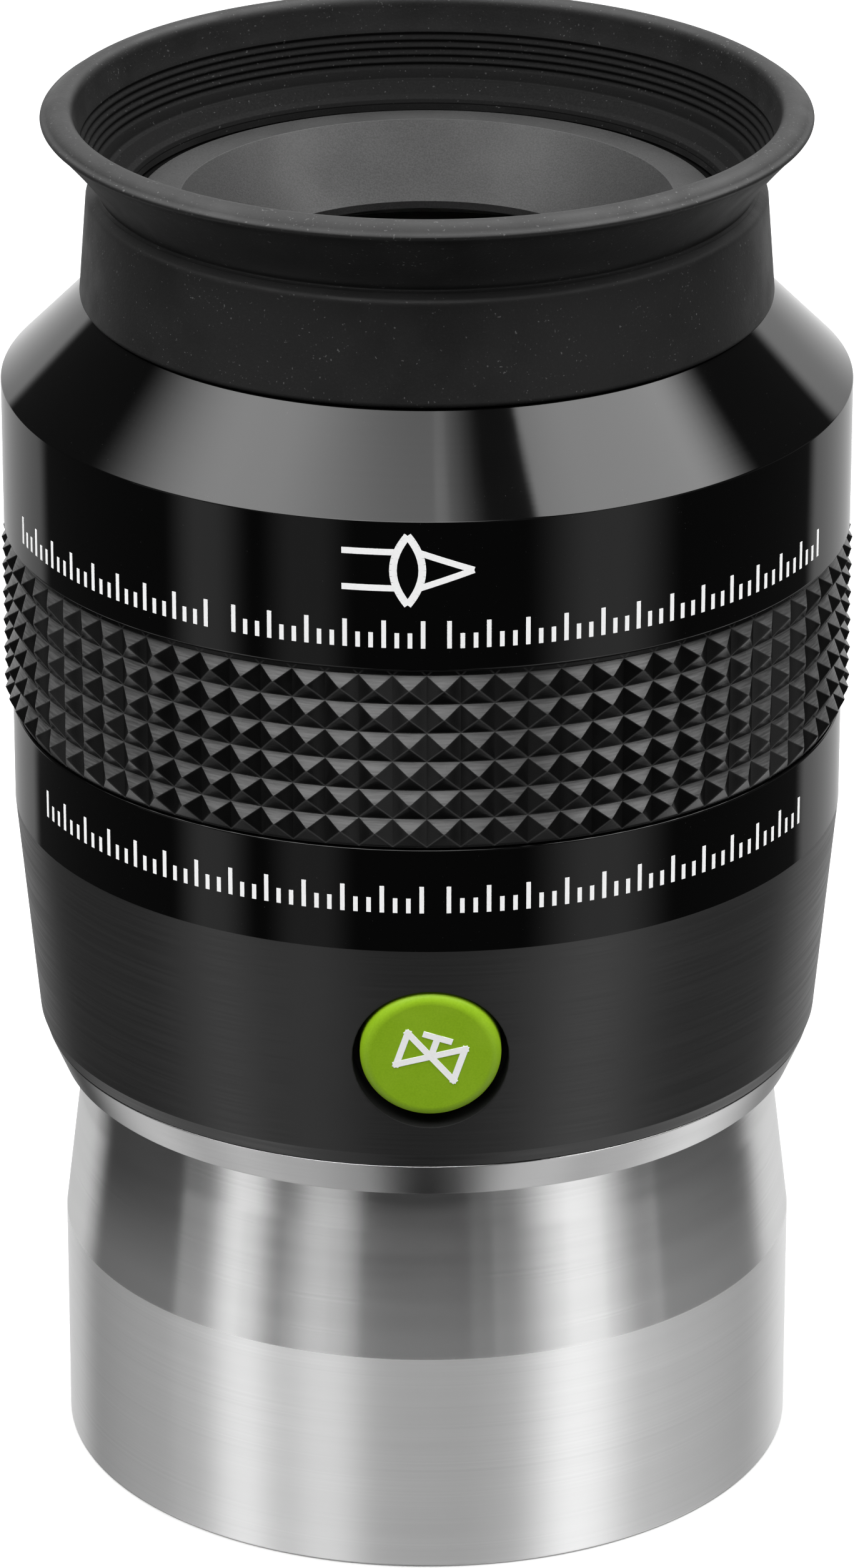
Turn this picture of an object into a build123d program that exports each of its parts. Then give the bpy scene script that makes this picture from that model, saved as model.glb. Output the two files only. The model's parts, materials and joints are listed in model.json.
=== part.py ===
"""Telescope eyepiece for two-inch focusers, with a fold-down rubber eyecup.

Millimetres, +Z up along the optical axis. The origin is the centre of the
barrel's bottom face, and the purge cap faces -Y. Each sub-part is its own solid.
"""

import os
from math import atan2, cos, pi, sin

from build123d import *

# ---- driving dimensions -------------------------------------------------

BARREL_RADIUS = 25.4            # two-inch focuser standard
BARREL_CHAMFER = 0.12
BARREL_BORE = 22.9
BARREL_GUIDE_TOP = 15.85        # top of the full-size guide cylinder
UNDERCUT_RADIUS = 24.1          # thin end of the safety undercut
UNDERCUT_TOP = 28.4
FLANGE_RADIUS = 26.6
FILTER_THREAD_RADIUS = 23.6     # wall radius of an M48 x 0.75 filter thread
FILTER_THREAD_LENGTH = 4.5

BODY_BOTTOM = 30.95
BODY_BOTTOM_RADIUS = 26.95
TAPER_BOTTOM = 32.0             # the taper starts above a short bevel
BAND_RADIUS = 28.4
BAND_BOTTOM = 47.5
GRIP_BOTTOM = 54.9
GRIP_TOP = 67.5
GRIP_BASE_RADIUS = 28.3
GRIP_POINT_RADIUS = 29.0
GRIP_SEAT_RADIUS = 27.2
GRIP_COLUMNS = 80
GRIP_ROWS = 6
GRIP_LOW_RIM = 0.06             # plain rim below the first row
GRIP_HIGH_RIM = 0.4             # plain rim above the last row
GRIP_PEAK = 0.58                # height of each pyramid's point within its row
HEAD_RADIUS = 28.78
HEAD_SHOULDER = 77.9            # where the 45 degree cone starts
CONE_TOP_RADIUS = 23.1
NECK_RADIUS = 21.4
NECK_TOP = 89.6

CUFF_TOP = 91.2
CUFF_BOTTOM_RADIUS = 23.4
CUFF_TOP_RADIUS = 22.85
LIP_RADIUS = 25.8
LIP_INNER_RADIUS = 23.6
LIP_BOTTOM = 94.4
EYECUP_TOP = 96.9

BEZEL_RADIUS = 19.5
BEZEL_RING_RADIUS = 16.6
EYE_APERTURE = 12.6
EYE_APERTURE_Z = 85.6

EYE_LENS_RADIUS = 16.5
MAIN_LENS_RADIUS = 18.9
FIELD_LENS_RADIUS = 15.9
CELL_RADIUS = 23.9
CELL_BOTTOM = 47.3
CELL_LEDGE = 76.6               # the eye doublet rests against this ledge
EYE_JOIN = 73.2                 # cemented face of the eye doublet, at its edge
EYE_FLINT_EDGE = 67.5
MIDDLE_LENS_EDGE = 61.0
LOCK_RING_BOTTOM = 57.4
LOCK_RING_TOP = 59.8
STOP_BOTTOM = 49.2
STOP_TOP = 50.4
STOP_RADIUS = 12.2
FIELD_CELL_RADIUS = 17.6
FIELD_CELL_BOTTOM = 9.5
FIELD_RING_BOTTOM = 10.0
FIELD_FLINT_EDGE = 13.3
FIELD_JOIN = 17.0               # cemented face of the field doublet, at its edge
FIELD_CROWN_EDGE = 20.4
FIELD_CLEAR_RADIUS = 14.5
FIELD_LEDGE = 21.5

CAP_RADIUS = 4.7
CAP_Z = 39.3
CAP_ROUNDING = 0.75             # rounded edge of the cap's face
CAP_STANDS = 0.2                # height of the cap's face above the wall
CAP_LIFT = 0.4                  # the cap sits this high of its pocket's middle
POCKET_RADIUS = 5.2
POCKET_DEPTH = 2.4
PORT_RADIUS = 1.25              # gas port under the cap
PORT_SEAT_RADIUS = 2.5          # counterbore for the port's screw
PORT_SEAT_DEPTH = 1.45

GAP = 0.05                      # clearance between pieces that are screwed or stacked

THREAD_PITCH = 0.75
SLOT_LENGTH = 2.4               # spanner slots of the retaining rings
SLOT_WIDTH = 1.2
SLOT_DEPTH = 0.7

CONE_TOP = HEAD_SHOULDER + HEAD_RADIUS - CONE_TOP_RADIUS
EYE_SEAT = 80.6                 # the eye lens rests here
BEZEL_SEAT = 84.2               # the bezel rests here
HEAD_FLOOR = 79.0               # underside of the eye lens's ledge
TENON_BOTTOM = 46.0             # lower end of the upper housing
TENON_RADIUS = 25.5             # threaded joint between the two housings
WEB_BOTTOM = 36.5               # ledge inside the lower housing
WEB_TOP = 38.0
WEB_RADIUS = 19.0
WELL_RADIUS = 21.5              # bore between that ledge and the upper housing
CELL_THREAD_RADIUS = 24.0       # threaded joints of the barrel and the lens cells
BARREL_TOP = WEB_BOTTOM - 1.3
BEAD = 0.4                      # snap bead on the neck, which holds the cuff


FROM_BOTTOM = (Align.CENTER, Align.CENTER, Align.MIN)
FROM_TOP = (Align.CENTER, Align.CENTER, Align.MAX)


# ---- helpers --------------------------------------------------------------


def turned(*outline):
    """A solid of revolution about Z from (radius, height) corners."""
    edge = Polyline(*[(r, 0, z) for r, z in outline], close=True)
    return revolve(make_face(edge), Axis.Z)


def tube(outer, inner, bottom, top):
    """A plain ring or tube."""
    return turned((inner, bottom), (outer, bottom), (outer, top), (inner, top))


def o_ring(radius, height, thickness):
    """A round-section seal."""
    section = Plane(origin=(radius, 0, height), x_dir=(1, 0, 0), z_dir=(0, -1, 0))
    return revolve(section * Circle(thickness / 2), Axis.Z)


def lens(radius, low_edge, high_edge, low_bulge, high_bulge):
    """A lens: each bulge is how far that face's centre lies above its edge."""
    low = low_edge + low_bulge
    high = high_edge + high_bulge
    outline = Line((0, 0, low), (0, 0, high))
    outline += face_curve(radius, high_edge, high_bulge)
    outline += Line((radius, 0, high_edge), (radius, 0, low_edge))
    outline += face_curve(radius, low_edge, low_bulge)
    return revolve(make_face(outline), Axis.Z)


def face_curve(radius, edge, bulge):
    """Half of a lens face's section, from the axis to the rim."""
    centre = (0, 0, edge + bulge)
    rim = (radius, 0, edge)
    if bulge == 0:
        return Line(centre, rim)
    curvature = (radius**2 + bulge**2) / (2 * bulge)
    half = radius / 2
    sign = 1 if bulge > 0 else -1
    drop = abs(curvature) - (curvature**2 - half**2) ** 0.5
    return ThreePointArc(centre, (half, 0, edge + bulge - sign * drop), rim)


def thread_grooves(solid, radius, bottom, top, depth):
    """Ring grooves cut into a bore, standing for thread or baffle lines."""
    count = int((top - bottom) / THREAD_PITCH)
    for i in range(count):
        z = bottom + (i + 0.5) * THREAD_PITCH
        half = THREAD_PITCH * 0.4
        solid -= turned((radius - 0.2, z - half), (radius + depth, z), (radius - 0.2, z + half))
    return solid


def lock_ring(outer, inner, bottom, top):
    """A threaded retaining ring with two spanner slots across its lower face."""
    ring = tube(outer, inner, bottom, top)
    middle = (outer + inner) / 2
    for side in (-1, 1):
        ring -= Pos(side * middle, 0, bottom) * Box(SLOT_LENGTH, SLOT_WIDTH, 2 * SLOT_DEPTH)
    return ring


# ---- body -----------------------------------------------------------------


def barrel():
    """Bright metal barrel with a safety undercut, flange ring and filter thread."""
    shell = turned(
        (FILTER_THREAD_RADIUS + 0.4, 0),
        (BARREL_RADIUS - BARREL_CHAMFER, 0),
        (BARREL_RADIUS, BARREL_CHAMFER),
        (BARREL_RADIUS, BARREL_GUIDE_TOP),
        (BARREL_RADIUS - 0.12, BARREL_GUIDE_TOP + 0.12),
        (UNDERCUT_RADIUS + 0.2, 25.0),
        (UNDERCUT_RADIUS, UNDERCUT_TOP),
        (BARREL_RADIUS + 0.1, UNDERCUT_TOP),
        (FLANGE_RADIUS, BODY_BOTTOM),
        (CELL_THREAD_RADIUS - GAP, BODY_BOTTOM),
        (CELL_THREAD_RADIUS - GAP, BARREL_TOP),
        (BARREL_BORE, BARREL_TOP),
        (BARREL_BORE, FILTER_THREAD_LENGTH + 1.2),
        (FILTER_THREAD_RADIUS, FILTER_THREAD_LENGTH + 0.5),
        (FILTER_THREAD_RADIUS, 0.4),
    )
    return thread_grooves(shell, BARREL_BORE, 8.0, 26.0, 0.4)


def lower_housing():
    """Tapered lower body with the black band, the purge pocket and two threaded ends."""
    shell = turned(
        (CELL_THREAD_RADIUS, BODY_BOTTOM + GAP),
        (FLANGE_RADIUS, BODY_BOTTOM + GAP),
        (BODY_BOTTOM_RADIUS, TAPER_BOTTOM),
        (BAND_RADIUS, BAND_BOTTOM),
        (BAND_RADIUS, GRIP_BOTTOM - 0.25),
        (BAND_RADIUS - 0.15, GRIP_BOTTOM - 0.1),
        (TENON_RADIUS, GRIP_BOTTOM - 0.1),
        (TENON_RADIUS, TENON_BOTTOM - 0.2),
        (WELL_RADIUS, TENON_BOTTOM - 0.2),
        (WELL_RADIUS, WEB_TOP),
        (WEB_RADIUS, WEB_TOP),
        (WEB_RADIUS, WEB_BOTTOM),
        (CELL_THREAD_RADIUS, WEB_BOTTOM),
    )
    shell -= tube(25.4, 23.0, BODY_BOTTOM, BODY_BOTTOM + 1.2)
    pocket = Cylinder(POCKET_RADIUS, POCKET_DEPTH + 4, align=FROM_BOTTOM)
    seat = Cylinder(PORT_SEAT_RADIUS, PORT_SEAT_DEPTH + 1, align=FROM_BOTTOM)
    port = Cylinder(PORT_RADIUS, 8, align=FROM_TOP)
    face = pocket_plane()
    shell -= face * Pos(0, 0, -POCKET_DEPTH) * pocket
    shell -= face * Pos(0, 0, -POCKET_DEPTH - PORT_SEAT_DEPTH) * seat
    shell -= face * Pos(0, 0, -POCKET_DEPTH) * port
    return shell


def pocket_plane():
    """Plane on the tapered wall at the purge cap, with its normal pointing outward."""
    slope = (BAND_RADIUS - BODY_BOTTOM_RADIUS) / (BAND_BOTTOM - TAPER_BOTTOM)
    radius = BODY_BOTTOM_RADIUS + slope * (CAP_Z - TAPER_BOTTOM)
    lean = atan2(slope, 1)
    outward = (0, -cos(lean), -sin(lean))
    return Plane(origin=(0, -radius, CAP_Z), x_dir=(1, 0, 0), z_dir=outward)


def upper_housing():
    """Gloss black head: grip seat, cylinder, 45 degree cone and the eyecup's neck."""
    return turned(
        (CELL_THREAD_RADIUS, TENON_BOTTOM),
        (TENON_RADIUS - GAP, TENON_BOTTOM),
        (TENON_RADIUS - GAP, GRIP_BOTTOM - GAP),
        (GRIP_SEAT_RADIUS, GRIP_BOTTOM - GAP),
        (GRIP_SEAT_RADIUS, GRIP_TOP + 0.1),
        (HEAD_RADIUS - 0.15, GRIP_TOP + 0.1),
        (HEAD_RADIUS, GRIP_TOP + 0.25),
        (HEAD_RADIUS, HEAD_SHOULDER),
        (CONE_TOP_RADIUS, CONE_TOP),
        (NECK_RADIUS, CONE_TOP),
        (NECK_RADIUS, 86.0),
        (NECK_RADIUS + BEAD, 86.5),
        (NECK_RADIUS + BEAD, 87.5),
        (NECK_RADIUS, 88.0),
        (NECK_RADIUS, NECK_TOP - 0.3),
        (NECK_RADIUS - 0.3, NECK_TOP),
        (BEZEL_RADIUS + GAP, NECK_TOP),
        (BEZEL_RADIUS + GAP, BEZEL_SEAT),
        (EYE_LENS_RADIUS + GAP, BEZEL_SEAT),
        (EYE_LENS_RADIUS + GAP, EYE_SEAT),
        (EYE_LENS_RADIUS - 1.5, EYE_SEAT),
        (EYE_LENS_RADIUS - 1.5, HEAD_FLOOR),
        (CELL_THREAD_RADIUS, HEAD_FLOOR),
    )


def grip_ring():
    """Rubber grip ring: six rows of square pyramids between two plain rims."""
    row = (GRIP_TOP - GRIP_BOTTOM - GRIP_LOW_RIM - GRIP_HIGH_RIM) / GRIP_ROWS
    outline = [(GRIP_SEAT_RADIUS + GAP, GRIP_BOTTOM), (GRIP_BASE_RADIUS, GRIP_BOTTOM)]
    for i in range(GRIP_ROWS):
        z = GRIP_BOTTOM + GRIP_LOW_RIM + i * row
        outline += [(GRIP_BASE_RADIUS, z), (GRIP_POINT_RADIUS, z + GRIP_PEAK * row)]
    outline += [(GRIP_BASE_RADIUS, GRIP_TOP - GRIP_HIGH_RIM), (GRIP_BASE_RADIUS, GRIP_TOP)]
    outline += [(GRIP_SEAT_RADIUS + GAP, GRIP_TOP)]
    step = pi / GRIP_COLUMNS
    star = []
    for i in range(2 * GRIP_COLUMNS):
        radius = GRIP_POINT_RADIUS if i % 2 else GRIP_BASE_RADIUS
        star.append((radius * sin(i * step), radius * cos(i * step)))
    height = GRIP_TOP - GRIP_BOTTOM
    ridges = Pos(0, 0, GRIP_BOTTOM) * extrude(make_face(Polyline(*star, close=True)), height)
    return turned(*outline) & ridges


# ---- eyecup ---------------------------------------------------------------


def eyecup_cuff():
    """Rubber cuff that grips the neck, with a bead lapping over the neck's top."""
    groove = NECK_RADIUS + BEAD + GAP
    wall = NECK_RADIUS + GAP
    bottom = CONE_TOP + GAP
    return turned(
        (wall, bottom),
        (CUFF_BOTTOM_RADIUS - 0.4, bottom),
        (CUFF_BOTTOM_RADIUS - 0.1, bottom + 0.15),
        (CUFF_BOTTOM_RADIUS, bottom + 0.5),
        (CUFF_TOP_RADIUS, 90.0),
        (CUFF_TOP_RADIUS - 0.02, 90.5),
        (CUFF_TOP_RADIUS - 0.25, 91.0),
        (22.25, CUFF_TOP),
        (21.3, CUFF_TOP),
        (20.6, 90.6),
        (20.2, 90.3),
        (20.2, NECK_TOP + GAP),
        (wall, NECK_TOP + GAP),
        (wall, 88.05),
        (groove, 87.55),
        (groove, 86.45),
        (wall, 85.95),
    )


def eyecup_fold():
    """Thin soft wall between the cuff and the lip, where the eyecup folds."""
    joint = CUFF_TOP + 0.02
    flare = ThreePointArc((22.25, 0, joint), (23.05, 0, 92.8), (24.1, 0, LIP_BOTTOM - 0.15))
    edge = flare
    edge += Polyline(
        (24.1, 0, LIP_BOTTOM - 0.15),
        (LIP_INNER_RADIUS - 0.05, 0, LIP_BOTTOM - 0.15),
        (LIP_INNER_RADIUS - 0.05, 0, EYECUP_TOP - 0.3),
        (23.3, 0, EYECUP_TOP - 0.1),
        (23.15, 0, 95.2),
        (23.2, 0, 94.2),
        (22.1, 0, 92.1),
        (21.35, 0, joint),
        (22.25, 0, joint),
    )
    wall = revolve(make_face(edge), Axis.Z)
    for i in range(5):
        z = 92.35 + i * 0.42
        r = 22.2 + (z - 92.1) * 0.5
        wall -= turned((r - 0.3, z - 0.13), (r + 0.15, z - 0.05), (r + 0.15, z + 0.05), (r - 0.3, z + 0.13))
    return wall


def eyecup_lip():
    """Rolled lip of the eyecup, which moves down over the cuff when it folds."""
    edge = Polyline(
        (LIP_INNER_RADIUS, 0, EYECUP_TOP - 0.15),
        (LIP_INNER_RADIUS, 0, LIP_BOTTOM),
        (24.3, 0, LIP_BOTTOM),
    )
    edge += ThreePointArc((24.3, 0, LIP_BOTTOM), (24.95, 0, 95.15), (LIP_RADIUS - 0.1, 0, 95.85))
    edge += ThreePointArc(
        (LIP_RADIUS - 0.1, 0, 95.85), (LIP_RADIUS, 0, 96.1), (LIP_RADIUS - 0.2, 0, 96.3)
    )
    edge += ThreePointArc(
        (LIP_RADIUS - 0.2, 0, 96.3), (24.6, 0, 96.75), (LIP_INNER_RADIUS, 0, EYECUP_TOP)
    )
    edge += Line((LIP_INNER_RADIUS, 0, EYECUP_TOP), (LIP_INNER_RADIUS, 0, EYECUP_TOP - 0.15))
    return revolve(make_face(edge), Axis.Z)


# ---- optics ---------------------------------------------------------------


def eye_bezel():
    """Threaded ring that holds the eye lens, with a funnel down to its aperture."""
    return turned(
        (EYE_APERTURE, EYE_APERTURE_Z),
        (EYE_APERTURE, EYE_APERTURE_Z - 0.5),
        (14.6, EYE_APERTURE_Z - 0.5),
        (15.2, 84.6),
        (16.4, 84.6),
        (16.4, 84.3),
        (BEZEL_RADIUS, BEZEL_SEAT + 0.1),
        (BEZEL_RADIUS, 89.85),
        (BEZEL_RADIUS - 0.1, 89.95),
        (BEZEL_RING_RADIUS, 90.2),
    )


def lens_cell():
    """Inner tube that carries the main lens groups inside the head."""
    bore = MAIN_LENS_RADIUS + GAP
    return turned(
        (bore, CELL_BOTTOM),
        (CELL_RADIUS, CELL_BOTTOM),
        (CELL_RADIUS, HEAD_FLOOR - 0.1),
        (bore - 2.45, HEAD_FLOOR - 0.1),
        (bore - 2.45, CELL_LEDGE),
        (bore, CELL_LEDGE),
    )


def eye_doublet():
    """The cemented pair under the eye lens: biconvex crown on a meniscus flint."""
    crown = lens(MAIN_LENS_RADIUS, EYE_JOIN, CELL_LEDGE - 0.4, -3.2, 1.2)
    flint = lens(MAIN_LENS_RADIUS, EYE_FLINT_EDGE, EYE_JOIN - GAP, 1.4, -3.2)
    return crown, flint


def field_cell():
    """Tube that hangs the field lenses in the barrel, clamped by its flange."""
    bore = FIELD_LENS_RADIUS + GAP
    top = WEB_BOTTOM - GAP
    shell = turned(
        (bore, FIELD_CELL_BOTTOM),
        (FIELD_CELL_RADIUS, FIELD_CELL_BOTTOM),
        (FIELD_CELL_RADIUS, top - 1.1),
        (CELL_THREAD_RADIUS - GAP, top - 1.1),
        (CELL_THREAD_RADIUS - GAP, top),
        (FIELD_CLEAR_RADIUS, top),
        (FIELD_CLEAR_RADIUS, FIELD_LEDGE),
        (bore, FIELD_LEDGE),
    )
    return thread_grooves(shell, FIELD_CLEAR_RADIUS, 23.0, 34.0, 0.4)


def field_doublet():
    """The cemented field pair: biconcave flint with a convex crown behind it."""
    crown = lens(FIELD_LENS_RADIUS, FIELD_JOIN, FIELD_CROWN_EDGE, 2.0, 0.8)
    flint = lens(FIELD_LENS_RADIUS, FIELD_FLINT_EDGE, FIELD_JOIN - GAP, 1.3, 2.0)
    return crown, flint


# ---- purge valve ----------------------------------------------------------


def purge_cap():
    """Green push-in cover in its pocket, nearly level with the wall and hollow underneath."""
    height = POCKET_DEPTH + CAP_STANDS - GAP
    disc = Cylinder(CAP_RADIUS, height, align=FROM_TOP)
    disc = fillet(disc.edges().sort_by(Axis.Z)[-1], CAP_ROUNDING)
    disc -= Pos(0, 0, -height) * Cylinder(PORT_SEAT_RADIUS + 0.7, 1.2)
    return pocket_plane() * Pos(0, CAP_LIFT, CAP_STANDS) * disc


def purge_screw():
    """Socket screw that closes the gas port under the cover."""
    head = Cylinder(2.2, 1.1, align=FROM_BOTTOM)
    head -= Pos(0, 0, 0.8) * extrude(RegularPolygon(0.9, 6), 0.7)
    shank = Cylinder(PORT_RADIUS - GAP, 2.4, align=FROM_TOP)
    return pocket_plane() * Pos(0, 0, -POCKET_DEPTH - 0.8) * (head + shank)


def purge_seal():
    """Small seal under the screw's head."""
    height = -POCKET_DEPTH - 1.12
    section = Plane(origin=(1.85, 0, height), x_dir=(1, 0, 0), z_dir=(0, -1, 0))
    return pocket_plane() * revolve(section * Circle(0.28), Axis.Z)


# ---- the whole eyepiece ---------------------------------------------------


def pieces():
    crown, flint = eye_doublet()
    field_crown, field_flint = field_doublet()
    spacer_top = EYE_FLINT_EDGE - GAP
    middle_ring_top = MIDDLE_LENS_EDGE - 0.45
    return {
        "barrel": barrel(),
        "barrel_seal": o_ring(24.75, BODY_BOTTOM + 0.62, 1.1),
        "lower_housing": lower_housing(),
        "upper_housing": upper_housing(),
        "grip_ring": grip_ring(),
        "purge_cap": purge_cap(),
        "purge_screw": purge_screw(),
        "purge_seal": purge_seal(),
        "eyecup_cuff": eyecup_cuff(),
        "eyecup_fold": eyecup_fold(),
        "eyecup_lip": eyecup_lip(),
        "eye_bezel": eye_bezel(),
        "eye_lens_seal": o_ring(EYE_LENS_RADIUS - 0.75, BEZEL_SEAT - 0.02, 0.8),
        "eye_lens": lens(EYE_LENS_RADIUS, EYE_SEAT + 0.25, 83.6, -1.0, 1.6),
        "lens_cell": lens_cell(),
        "eye_crown_lens": crown,
        "eye_flint_lens": flint,
        "lens_spacer": tube(MAIN_LENS_RADIUS, 17.3, 64.4, spacer_top),
        "middle_lens": lens(MAIN_LENS_RADIUS, MIDDLE_LENS_EDGE, 64.15, -2.2, 1.0),
        "lens_lock_ring": lock_ring(MAIN_LENS_RADIUS, 16.0, LOCK_RING_BOTTOM, LOCK_RING_TOP),
        "middle_lens_ring": tube(MAIN_LENS_RADIUS, 17.3, LOCK_RING_TOP + GAP, middle_ring_top),
        "field_stop": tube(MAIN_LENS_RADIUS, STOP_RADIUS, STOP_BOTTOM, STOP_TOP),
        "cell_lock_ring": lock_ring(
            CELL_THREAD_RADIUS - GAP, 21.0, TENON_BOTTOM, CELL_BOTTOM - GAP
        ),
        "field_cell": field_cell(),
        "field_crown_lens": field_crown,
        "field_flint_lens": field_flint,
        "field_lens_seal": o_ring(15.3, 21.02, 0.9),
        "field_lock_ring": lock_ring(FIELD_LENS_RADIUS, 14.0, FIELD_RING_BOTTOM, 13.2),
    }


def main():
    os.makedirs("parts", exist_ok=True)
    for name, solid in pieces().items():
        export_step(solid, f"parts/{name}.step")
        print(name, round(solid.volume, 1))


main()
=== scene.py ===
"""Looks of the two-inch telescope eyepiece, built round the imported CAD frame.

Everything is in the frame's axes: +Z along the optical axis, the purge cap
towards -Y. Outlines are written in millimetres and turned into metres by MM.
"""

import json
import math

import bmesh
import bpy
from mathutils import Matrix, Vector


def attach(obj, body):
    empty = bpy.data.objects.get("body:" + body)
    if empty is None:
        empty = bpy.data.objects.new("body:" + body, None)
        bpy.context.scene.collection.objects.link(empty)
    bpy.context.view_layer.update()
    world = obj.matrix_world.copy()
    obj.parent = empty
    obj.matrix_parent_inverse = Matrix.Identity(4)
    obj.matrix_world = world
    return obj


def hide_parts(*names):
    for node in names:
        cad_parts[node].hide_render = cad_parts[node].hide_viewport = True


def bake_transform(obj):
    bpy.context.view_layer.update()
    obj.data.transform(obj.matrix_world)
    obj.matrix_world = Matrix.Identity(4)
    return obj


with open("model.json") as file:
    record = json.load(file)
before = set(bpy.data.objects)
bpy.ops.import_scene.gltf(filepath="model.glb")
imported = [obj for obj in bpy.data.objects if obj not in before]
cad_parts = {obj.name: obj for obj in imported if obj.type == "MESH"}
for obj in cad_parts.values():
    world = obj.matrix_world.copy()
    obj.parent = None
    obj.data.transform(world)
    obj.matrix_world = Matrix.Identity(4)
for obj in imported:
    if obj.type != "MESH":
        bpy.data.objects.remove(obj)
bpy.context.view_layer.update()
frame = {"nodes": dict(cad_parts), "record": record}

MM = 0.001
SEGMENTS = 256

# ---- dimensions taken from the CAD model, in millimetres -------------------

BARREL_RADIUS = 25.4
BARREL_BORE = 22.9
GUIDE_TOP = 15.85           # top of the barrel's full-size guide cylinder
UNDERCUT_RADIUS = 24.1      # thin end of the safety undercut
UNDERCUT_TOP = 28.4
FLANGE_RADIUS = 26.6
THREAD_RADIUS = 23.6        # wall radius of the filter thread
THREAD_TOP = 5.0
THREAD_PITCH = 0.75
JOINT_RADIUS = 23.95        # spigot that the lower body screws on to
JOINT_TOP = 35.2
BODY_BOTTOM = 30.95
BODY_BOTTOM_RADIUS = 26.95
BODY_BORE = 24.0
TAPER_BOTTOM = 32.0
BAND_RADIUS = 28.4          # gloss band above the taper
BAND_BOTTOM = 47.5
GRIP_BOTTOM = 54.9
GRIP_TOP = 67.5
GRIP_BASE = 28.3            # radius of the valleys between the pyramids
GRIP_POINT = 29.0           # radius of the pyramids' points
GRIP_SEAT = 27.2
GRIP_COLUMNS = 80
GRIP_ROWS = 6
GRIP_PEAK = 0.58            # height of each point within its row, as a share
GRIP_TURN = 0.12            # share of a column by which the first one is turned
GRIP_LOW_RIM = 0.06
GRIP_HIGH_RIM = 0.4
GRIP_ROW_HEIGHT = (GRIP_TOP - GRIP_BOTTOM - GRIP_LOW_RIM - GRIP_HIGH_RIM) / GRIP_ROWS
HEAD_RADIUS = 28.78
HEAD_SHOULDER = 77.9        # where the 45 degree cone starts
CONE_TOP_RADIUS = 23.1
CONE_TOP = HEAD_SHOULDER + HEAD_RADIUS - CONE_TOP_RADIUS
NECK_RADIUS = 21.4
NECK_TOP = 89.6
LIP_BOTTOM = 94.4           # the eyecup's lip moves from here up
BEZEL_RADIUS = 19.5
BEZEL_RING = 16.6
BEZEL_BOTTOM = 84.3
EYE_APERTURE = 12.6
APERTURE_Z = 85.6
EYE_LENS_RADIUS = 16.5
CAP_RADIUS = 4.7
CAP_Z = 39.3
CAP_STANDS = 0.2            # how far the purge cap stands proud of the taper
CAP_LIFT = 0.4              # and how far it sits above its pocket's middle
POCKET_RADIUS = 5.2
POCKET_DEPTH = 2.4
PORT_RADIUS = 2.5           # purge port in the pocket's floor
PORT_DEPTH = 1.45


# ---- mesh helpers -----------------------------------------------------------


def new_object(name, verts, faces, sharp=32.0, matrix=None):
    """A mesh object in metres from points in millimetres, smooth up to the sharp angle."""
    mesh = bpy.data.meshes.new(name)
    mesh.from_pydata([Vector(v) * MM for v in verts], [], faces)
    mesh.update()
    work = bmesh.new()
    work.from_mesh(mesh)
    bmesh.ops.recalc_face_normals(work, faces=work.faces)
    work.to_mesh(mesh)
    work.free()
    if matrix is not None:
        mesh.transform(matrix)
    mesh.polygons.foreach_set("use_smooth", [True] * len(mesh.polygons))
    mesh.set_sharp_from_angle(angle=math.radians(sharp))
    obj = bpy.data.objects.new(name, mesh)
    bpy.context.scene.collection.objects.link(obj)
    return obj


def softened(outline, closed=True, steps=4, hold=0.03):
    """Rounds an outline's corners, (r, z) or (r, z, radius). Arcs get a holding point each side."""
    count = len(outline)
    result = []
    for i, corner in enumerate(outline):
        point = Vector(corner[:2])
        radius = corner[2] if len(corner) > 2 else 0
        at_end = not closed and i in (0, count - 1)
        if radius == 0 or at_end:
            result.append(point)
            continue
        to_last = Vector(outline[i - 1][:2]) - point
        to_next = Vector(outline[(i + 1) % count][:2]) - point
        half = to_last.angle(to_next) / 2
        reach = radius / math.tan(half)
        reach = min(reach, 0.45 * to_last.length, 0.45 * to_next.length)
        radius = reach * math.tan(half)
        start = point + to_last.normalized() * reach
        end = point + to_next.normalized() * reach
        middle = (to_last.normalized() + to_next.normalized()).normalized()
        centre = point + middle * math.hypot(reach, radius)
        result.append(start + to_last.normalized() * hold)
        first = start - centre
        last = end - centre
        turn = first.angle_signed(last)
        for k in range(steps + 1):
            spin = Matrix.Rotation(-turn * k / steps, 2)
            result.append(centre + spin @ first)
        result.append(end + to_next.normalized() * hold)
    return [(p[0], p[1]) for p in result]


def lathe(name, outline, segments=SEGMENTS, sharp=32.0, matrix=None):
    """A closed outline of (r, z) turned about Z. Points on the axis become one vertex."""
    verts = []
    rings = []
    for r, z in outline:
        if r < 1e-6:
            rings.append([len(verts)] * segments)
            verts.append((0, 0, z))
            continue
        rings.append(list(range(len(verts), len(verts) + segments)))
        for k in range(segments):
            angle = 2 * math.pi * k / segments
            verts.append((r * math.sin(angle), -r * math.cos(angle), z))
    faces = []
    for i, ring in enumerate(rings):
        after = rings[(i + 1) % len(rings)]
        for k in range(segments):
            m = (k + 1) % segments
            corners = [ring[k], ring[m], after[m], after[k]]
            unique = list(dict.fromkeys(corners))
            if len(unique) > 2:
                faces.append(unique)
    return new_object(name, verts, faces, sharp, matrix)


def put(obj, body, slot, *nodes):
    """Rides a piece on its body and hides the CAD nodes that it stands for. The slot is not used.
    """
    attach(obj, body)
    if nodes:
        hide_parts(*nodes)
    return obj


# ---- material helpers -------------------------------------------------------


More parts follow.
